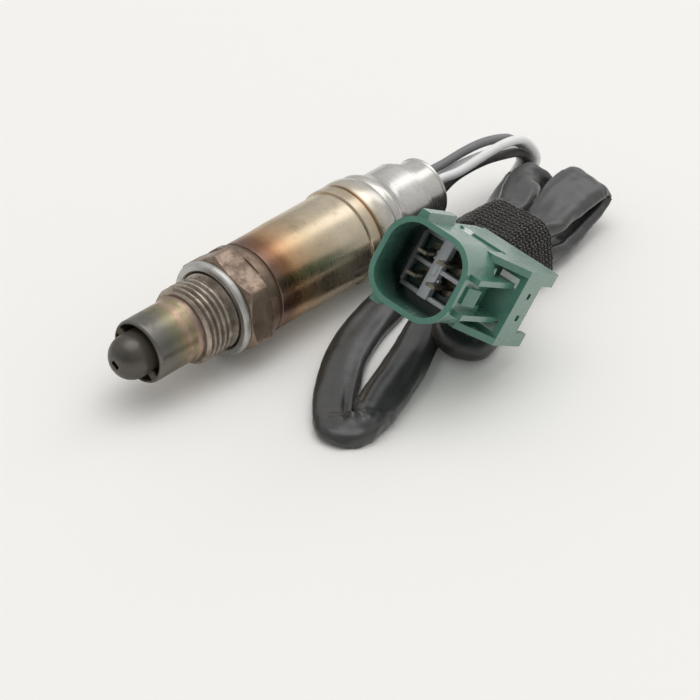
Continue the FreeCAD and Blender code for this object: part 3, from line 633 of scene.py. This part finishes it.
def centre_line(name, points, resolution=12):
    """A smooth NURBS curve with the route's points as its control points."""
    curve = bpy.data.curves.new(name, "CURVE")
    curve.dimensions = "3D"
    spline = curve.splines.new("NURBS")
    spline.points.add(len(points) - 1)
    for place, point in zip(points, spline.points):
        point.co = (*place, 1.0)
    spline.order_u = 3
    spline.use_endpoint_u = True
    spline.resolution_u = resolution
    curve.resolution_u = resolution
    line = bpy.data.objects.new(name, curve)
    bpy.context.scene.collection.objects.link(line)
    return line


def along(line):
    """The points that a curve's own line passes through."""
    mesh = bpy.data.meshes.new_from_object(line)
    places = [vertex.co.copy() for vertex in mesh.vertices]
    bpy.data.meshes.remove(mesh)
    return places


# Materials

def steel(name, stops, rough=0.3, blotch=3.0, grime=None, grime_share=0.6, grime_from=0.52, soot=None):
    """Turned steel: tint by station, fine rings, soft blotches and grime.

    The stops are pairs of station and colour. Soot is a radius, a station and a colour, and covers what
    lies inside that radius and behind that station. All lengths are in millimetres.
    """
    look = Look(name)
    low = stops[0][0]
    high = stops[-1][0]
    x, y, z = look.split()
    height = look.calc("SUBTRACT", z, axis_z * MM)
    grooves = look.join(look.calc("MULTIPLY", x, 7000.0), look.calc("MULTIPLY", y, 40.0),
                        look.calc("MULTIPLY", height, 40.0))
    rings = look.noise(1.0, 3.0, 0.6, grooves)
    soft = look.noise(150.0, 4.0, 0.6)
    wander = look.calc("MULTIPLY", look.calc("SUBTRACT", look.noise(70.0, 4.0, 0.55), 0.5), blotch)
    place = look.span(look.calc("ADD", look.station(), wander), low, high)
    base = look.ramp(place, [((s - low) / (high - low), c) for s, c in stops])
    shade = look.span(soft, 0.3, 0.7, 0.86, 1.08)
    base = look.blend(1.0, base, look.join(shade, shade, shade), "MULTIPLY")
    wear = look.calc("ADD", look.span(rings, 0.3, 0.7, rough - 0.05, rough + 0.05),
                     look.span(soft, 0.35, 0.7, -0.03, 0.09))
    metal = 1.0
    if grime:
        spots = look.span(look.noise(330.0, 6.0, 0.68), grime_from, grime_from + 0.16, 0.0, grime_share)
        base = look.blend(spots, base, grime)
        wear = look.calc("ADD", wear, look.calc("MULTIPLY", spots, 0.3))
        metal = look.span(spots, 0.0, 1.0, 1.0, 0.5)
    if soot:
        soot_r, soot_front, soot_colour = soot
        square = look.calc("ADD", look.calc("POWER", y, 2.0), look.calc("POWER", height, 2.0))
        radius = look.calc("MULTIPLY", look.calc("SQRT", square), 1000.0)
        within = look.calc("MULTIPLY", look.span(radius, soot_r - 0.05, soot_r + 0.05, 1.0, 0.0),
                           look.span(look.station(), soot_front - 0.3, soot_front + 0.3))
        base = look.blend(within, base, soot_colour)
        wear = look.calc("ADD", wear, look.calc("MULTIPLY", within, 0.35))
        metal = look.calc("MULTIPLY", metal, look.span(within, 0.0, 1.0, 1.0, 0.1))
    look.set(Base_Color=base, Metallic=metal, Roughness=wear)
    fine = look.bump(rings, 0.000012, 0.3)
    look.bump(look.noise(260.0, 3.0), 0.00006, 0.25, fine)
    return look


def plain_metal(name, colour, rough=0.34, grime=None, grime_share=0.35, grime_from=0.52):
    """Metal of one tint, with light grime, for blades, strips, springs and washers."""
    grime = grime or tuple(value * 0.45 for value in colour)
    return steel(name, [(-40.0, colour), (80.0, colour)], rough, 0.0, grime, grime_share, grime_from)


def plastic(name, colour, rough=0.42, dark=None, grain=2600.0, depth=0.00002, coat=0.0, dust=None):
    """Moulded plastic, rubber or vinyl: a mottled tone, uneven gloss and a fine skin."""
    look = Look(name)
    tone = look.span(look.noise(110.0, 4.0, 0.6), 0.32, 0.68)
    base = look.blend(tone, dark or tuple(value * 0.85 for value in colour), colour)
    if dust:
        specks = look.span(look.noise(700.0, 5.0, 0.7), 0.58, 0.75, 0.0, 0.5)
        base = look.blend(specks, base, dust)
    wear = look.span(look.noise(240.0, 2.0), 0.3, 0.7, rough - 0.05, rough + 0.06)
    look.set(Base_Color=base, Roughness=wear, Coat_Weight=coat, Coat_Roughness=0.3)
    fine = look.bump(look.noise(grain, 2.0), depth, 0.6)
    look.bump(look.noise(240.0, 3.0), depth * 6, 0.35, fine)
    return look


def in_plug(look):
    """How far a place lies across, up and out of the plug's mouth, in millimetres."""
    offset = look.tree.nodes.new("ShaderNodeVectorMath")
    offset.operation = "SUBTRACT"
    look.put(offset.inputs[0], look.place)
    offset.inputs[1].default_value = plug_mouth * MM
    amounts = []
    for direction in (plug_right, plug_up, plug_out):
        dot = look.tree.nodes.new("ShaderNodeVectorMath")
        dot.operation = "DOT_PRODUCT"
        look.put(dot.inputs[0], offset.outputs[0])
        dot.inputs[1].default_value = direction * 1000.0
        amounts.append(dot.outputs["Value"])
    return amounts


def cover(look, share, colour):
    """Lay a colour over a material's own by a share from 0 to 1."""
    source = look.shader.inputs["Base Color"].links[0].from_socket
    return look.set(Base_Color=look.blend(share, source, colour))


def paint_mouth_shade(look, colour):
    """Painted shade: darken a material towards the bottom of the plug's mouth, where light does not reach.
    """
    across, up, out = in_plug(look)
    aside = look.calc("MAXIMUM", look.calc("SUBTRACT", look.calc("ABSOLUTE", across),
                                           mouth_width / 2 - mouth_corner_r), 0.0)
    above = look.calc("MAXIMUM", look.calc("SUBTRACT", look.calc("ABSOLUTE", up),
                                           mouth_height / 2 - mouth_corner_r), 0.0)
    square = look.calc("ADD", look.calc("POWER", aside, 2.0), look.calc("POWER", above, 2.0))
    reach = look.calc("SQRT", square)
    inside = look.calc("MULTIPLY", look.span(reach, mouth_corner_r + 0.3, mouth_corner_r + 0.6, 1.0, 0.0),
                       look.span(out, -mouth_depth, 0.5 - mouth_depth))
    depth = look.span(out, -0.3, -9.0)
    return cover(look, look.calc("MULTIPLY", inside, depth), colour)


def paint_near_side_shadow(look, colour):
    """Painted shadow: darken a material towards the near side of the plug's mouth, which the shroud's wall
    shades.
    """
    across = in_plug(look)[0]
    return cover(look, look.span(across, -1.0, -6.2, 0.0, 0.85), colour)


def pale_patch(look, place, radius, colour):
    """A pale patch with a ragged edge round one place, all in metres."""
    apart = look.tree.nodes.new("ShaderNodeVectorMath")
    apart.operation = "DISTANCE"
    look.put(apart.inputs[0], look.place)
    apart.inputs[1].default_value = place
    uneven = look.calc("MULTIPLY", look.noise(1400.0, 2.0), 0.6 * radius)
    ragged = look.calc("ADD", apart.outputs["Value"], uneven)
    return cover(look, look.span(ragged, radius, 1.25 * radius, 1.0, 0.0), colour)


def ceramic(name, colour):
    """Fired ceramic with a dry, slightly speckled skin."""
    return plastic(name, colour, 0.6, tuple(value * 0.9 for value in colour), 5200.0, 0.00001)


tip_steel = steel("tip_steel", [
    (-31.0, linear(98, 95, 90)), (-26.5, linear(99, 95, 89)), (-25.4, linear(92, 87, 80))],
    rough=0.34, blotch=1.0, grime=linear(84, 80, 76), grime_share=0.5, grime_from=0.5,
    soot=(5.2, -25.4, linear(66, 60, 48)))
tube_steel = steel("tube_steel", [
    (-24.5, linear(122, 120, 115)), (-20.4, linear(122, 119, 111)), (-18.4, linear(136, 130, 112)),
    (-17.0, linear(146, 140, 112)), (-15.8, linear(168, 152, 122)), (-14.6, linear(192, 163, 144)),
    (-13.4, linear(168, 158, 122)), (-12.2, linear(172, 148, 132)), (-11.0, linear(146, 128, 118))],
    rough=0.34, blotch=3.4, grime=linear(92, 90, 84), grime_share=0.4, grime_from=0.5,
    soot=(7.02, -24.2, linear(84, 76, 60)))
body_steel = steel("body_steel", [
    (-11.0, linear(182, 171, 158)), (-5.0, linear(188, 180, 170)), (-1.0, linear(180, 172, 162)),
    (0.0, linear(158, 140, 126)), (4.0, linear(166, 146, 130)), (6.3, linear(146, 128, 113)),
    (9.8, linear(138, 116, 100))],
    rough=0.4, blotch=2.0, grime=linear(98, 78, 64), grime_share=0.55, grime_from=0.45)
ring_steel = steel("ring_steel", [(-2.2, linear(196, 195, 191)), (0.1, linear(188, 186, 181))],
                   rough=0.42, blotch=0.4, grime=linear(130, 120, 110), grime_share=0.4)
shell_steel = steel("shell_steel", [
    (9.8, linear(128, 106, 94)), (11.2, linear(128, 98, 82)), (13.2, linear(142, 104, 76)),
    (15.6, linear(190, 150, 112)), (19.0, linear(194, 166, 132)), (23.0, linear(192, 173, 144)),
    (30.0, linear(210, 195, 170)), (38.5, linear(214, 200, 178))],
    rough=0.27, blotch=4.5, grime=linear(140, 100, 76), grime_share=0.3, grime_from=0.58)
sleeve_steel = steel("sleeve_steel", [
    (38.0, linear(208, 196, 176)), (41.2, linear(198, 180, 152)), (41.5, linear(120, 92, 66)),
    (42.1, linear(128, 100, 74)), (42.6, linear(202, 192, 174)), (46.0, linear(210, 206, 198)),
    (52.0, linear(212, 210, 205)), (62.5, linear(214, 212, 208))],
    rough=0.25, blotch=0.4, grime=linear(150, 134, 116), grime_share=0.35, grime_from=0.6)
cap_steel = steel("cap_steel", [(58.0, linear(212, 209, 203)), (68.0, linear(214, 212, 207))],
                  rough=0.24, blotch=0.4, grime=linear(150, 140, 126), grime_share=0.2, grime_from=0.62)
green = plastic("moulded_green", linear(80, 130, 113), 0.25, linear(70, 121, 104), 500.0, 0.000001, 0.8)
# Painted shade: dark green towards the bottom of the plug's mouth
paint_mouth_shade(green, linear(14, 52, 41))
# Pale patch on the plug's top, behind the key rib
patch_place = plug_mouth - plug_right * 3.3 + plug_up * 9.0 - plug_out * 21.0
patch_r = 1.6
pale_patch(green, patch_place * MM, patch_r * MM, linear(244, 246, 243))
grey_plate = plastic("retainer_plastic", linear(240, 241, 245), 0.34, linear(228, 230, 236), 900.0, 0.000006)
# Painted shadow of the shroud's wall on the retainer's near side
paint_near_side_shadow(grey_plate, linear(66, 72, 70))
vinyl = plastic("vinyl", linear(57, 57, 56), 0.32, linear(44, 44, 43), 1500.0, 0.000006, 0.55,
                linear(82, 81, 79))
rubber = plastic("grommet_rubber", linear(44, 44, 44), 0.6, linear(34, 34, 34), 2400.0, 0.00003)
seal_rubber = plastic("seal_rubber", linear(120, 60, 40), 0.5)
wire_grey = plastic("grey_insulation", linear(132, 134, 134), 0.36, linear(120, 122, 122), 2000.0, 0.000006)
wire_black = plastic("black_insulation", linear(58, 56, 55), 0.34, linear(48, 46, 45), 2000.0, 0.000006)
wire_white = plastic("white_insulation", linear(247, 247, 246), 0.34, linear(240, 240, 239), 2000.0,
                     0.000006)
white_ceramic = ceramic("white_ceramic", linear(226, 222, 212))
grey_powder = ceramic("pressed_powder", linear(150, 148, 140))
brass = plain_metal("terminal_brass", linear(196, 172, 128), 0.26, linear(110, 92, 66), 0.5)
blade_tin = plain_metal("blade_tin", linear(150, 142, 124), 0.24, linear(60, 54, 44), 0.8, 0.46)
spring = plain_metal("spring_steel", linear(170, 168, 164))
stainless = plain_metal("stainless", linear(178, 174, 168))


def knitted():
    """Elastic yarn: dark brown-grey threads with a dry sheen, and painted shade and light: near black in the
    hollows between stitches, lighter on their tops.
    """
    look = Look("knitted_tie")
    strands = look.noise(1900.0, 3.0, 0.7)
    fuzz = look.calc("MULTIPLY", look.calc("SUBTRACT", strands, 0.5), 1.1)
    # Painted shade in the stitches' hollows and painted light on their tops, with the yarn's random fuzz
    lit = look.calc("ADD", look.layer("stitch_height"), fuzz)
    base = look.ramp(lit, [(0.15, linear(12, 11, 10)), (0.65, linear(46, 44, 41)),
                           (1.05, linear(120, 117, 111))])
    look.set(Base_Color=base, Roughness=look.span(strands, 0.3, 0.7, 0.75, 0.95), Sheen_Weight=0.2,
             Sheen_Roughness=0.5)
    look.bump(strands, 0.00012, 0.7)
    return look


# Pieces of the sensor

# The look of each CAD node that keeps its own shape
node_looks = {
    "outer_protection_tube": tube_steel, "inner_protection_tube": tip_steel, "seal_gasket": ring_steel,
    "seat_washer": stainless, "sensing_element": white_ceramic, "heater_rod": white_ceramic,
    "powder_seal": grey_powder, "support_tube": white_ceramic, "disc_spring": spring,
    "contact_holder": white_ceramic, "contact_strips": brass, "holder_spring": spring,
    "protective_shell": shell_steel, "rear_sleeve": sleeve_steel, "cable_cap": cap_steel,
    "cable_grommet": rubber, "lead_ends": wire_grey, "plug_housing": green,
    "blade_terminals": blade_tin, "wire_seals": seal_rubber, "plug_leads": wire_grey,
}
for node, look in node_looks.items():
    dress(node, look)

own(housing(body_steel), "sensor_housing")

round_edges(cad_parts["plug_housing"], width=0.16, from_angle=38.0)

# Lattice of the terminal retainer in the plug's own frame, each bar by its limits across, up and by depth
# behind the mouth: a thick middle bar, thin cross bars and a narrow border
lattice = [
    (-2.3, 0.3, -6.9, 6.9, 10.2, 12.6), (-7.9, -6.9, -6.0, 6.0, 10.9, 12.4),
    (5.0, 6.0, -6.0, 6.0, 10.9, 12.4), (-7.4, 5.6, 5.9, 6.9, 10.9, 12.4),
    (-7.4, 5.6, -6.9, -5.9, 10.9, 12.4), (-7.2, -2.2, -0.5, 0.5, 10.6, 12.4),
    (0.2, 5.4, -0.5, 0.5, 10.6, 12.4), (-2.9, -2.2, 1.6, 3.8, 10.7, 12.3),
    (0.2, 0.9, -4.0, -1.8, 10.7, 12.3), (-8.2, -6.8, -2.0, 2.0, 11.2, 13.2),
    (4.9, 6.2, -2.0, 2.0, 11.2, 13.2), (-1.6, -0.4, -1.4, 1.4, 9.9, 11.0),
]
lattice_round = 0.18
retainer = plug_boxes("retainer_lattice", lattice, grey_plate, lattice_round)
own(retainer, "terminal_retainer")

# Wires, sleeve and tie

wire_looks = {"wire_grey": (wire_grey, "wire_grey"), "wire_black": (wire_black, "wire_black"),
              "wire_white_front": (wire_white, "wire_white"), "wire_white_back": (wire_white, "wire_white")}

for node, route in wire_routes.items():
    wire = centre_line("bare_" + node, route)
    wire.data.bevel_depth = wire_r * MM
    wire.data.bevel_resolution = 8
    look, slot = wire_looks[node]
    wire.data.materials.append(look.material)
    own(wire, node)

line = centre_line("lead_line", lead_route, 20)
lead_places = along(line)
bpy.data.objects.remove(line)
lead = own(sleeve(vinyl, lead_places), "harness_sleeve")
tie = own(knit(knitted()), "tie_band")

# Floor, light and camera

floor_look = Look("floor")
seen = floor_look.tree.nodes.new("ShaderNodeLightPath").outputs["Is Camera Ray"]
floor_look.set(Base_Color=linear(248, 246, 242), Roughness=0.75, Specular_IOR_Level=0.15,
               Emission_Color=linear(248, 247, 243),
               Emission_Strength=floor_look.calc("MULTIPLY", seen, 0.04))
floor_reach = 4.0
corners = [(-floor_reach, -floor_reach, 0), (floor_reach, -floor_reach, 0), (floor_reach, floor_reach, 0),
           (-floor_reach, floor_reach, 0)]
floor_mesh = bpy.data.meshes.new("floor")
floor_mesh.from_pydata(corners, [], [(0, 1, 2, 3)])
floor = bpy.data.objects.new("floor", floor_mesh)
bpy.context.scene.collection.objects.link(floor)
floor.data.materials.append(floor_look.material)


# Brightness of the studio's walls and ceiling by height, from 0 at the horizon to 1 overhead
horizon_level = 0.5
zenith_level = 1.9
sky_levels = ((0.12, 0.52), (0.3, 0.6), (0.5, 0.7), (0.75, 0.68), (0.84, 0.76), (0.93, 1.8))
bright_side = (0.85, 0.53, 0.0)
dark_side_level = 0.56


def studio_world():
    """A bright ceiling that falls off to the horizon and away from its bright side."""
    world = bpy.data.worlds.new("studio")
    world.use_nodes = True
    tree = world.node_tree
    background = tree.nodes["Background"]
    direction = tree.nodes.new("ShaderNodeTexCoord").outputs["Generated"]
    split = tree.nodes.new("ShaderNodeSeparateXYZ")
    tree.links.new(direction, split.inputs[0])
    ramp = tree.nodes.new("ShaderNodeValToRGB")
    tree.links.new(split.outputs[2], ramp.inputs["Fac"])
    low, high = ramp.color_ramp.elements
    low.position, high.position = 0.0, 1.0
    low.color = (horizon_level, horizon_level, horizon_level, 1.0)
    high.color = (zenith_level, zenith_level, zenith_level, 1.0)
    for place, level in sky_levels:
        stop = ramp.color_ramp.elements.new(place)
        stop.color = (level, level, level, 1.0)
    toward = tree.nodes.new("ShaderNodeVectorMath")
    toward.operation = "DOT_PRODUCT"
    toward.inputs[1].default_value = bright_side
    tree.links.new(direction, toward.inputs[0])
    dim = tree.nodes.new("ShaderNodeMapRange")
    tree.links.new(toward.outputs["Value"], dim.inputs["Value"])
    limits = (("From Min", -0.95), ("From Max", 0.1), ("To Min", dark_side_level), ("To Max", 1.0))
    for key, number in limits:
        dim.inputs[key].default_value = number
    dimmed = tree.nodes.new("ShaderNodeVectorMath")
    dimmed.operation = "SCALE"
    tree.links.new(ramp.outputs["Color"], dimmed.inputs[0])
    tree.links.new(dim.outputs[0], dimmed.inputs["Scale"])
    tree.links.new(dimmed.outputs["Vector"], background.inputs["Color"])
    background.inputs["Strength"].default_value = 1.0
    return world


bpy.context.scene.world = studio_world()


def softbox(name, place, aim, width, height, power):
    """A large area lamp aimed at a point, all in metres."""
    lamp = bpy.data.lights.new(name, "AREA")
    lamp.shape = "RECTANGLE"
    lamp.size = width
    lamp.size_y = height
    lamp.energy = power
    piece = bpy.data.objects.new(name, lamp)
    bpy.context.scene.collection.objects.link(piece)
    piece.location = place
    piece.rotation_euler = (Vector(aim) - Vector(place)).to_track_quat("-Z", "Y").to_euler()
    return piece


softbox("key", place=(1.25, -0.02, 1.5), aim=(0.0, 0.0, 0.0), width=0.75, height=2.3, power=5.3)

camera = bpy.data.cameras.new("camera")
camera.lens = camera_lens
camera.sensor_width = 36.0
eye = bpy.data.objects.new("camera", camera)
bpy.context.scene.collection.objects.link(eye)
eye.location = Vector(camera_place) * MM
eye.rotation_euler = (math.radians(90.0 + camera_pitch), 0.0, math.radians(camera_heading - 90.0))
bpy.context.scene.camera = eye
bpy.context.scene.view_settings.view_transform = "Standard"
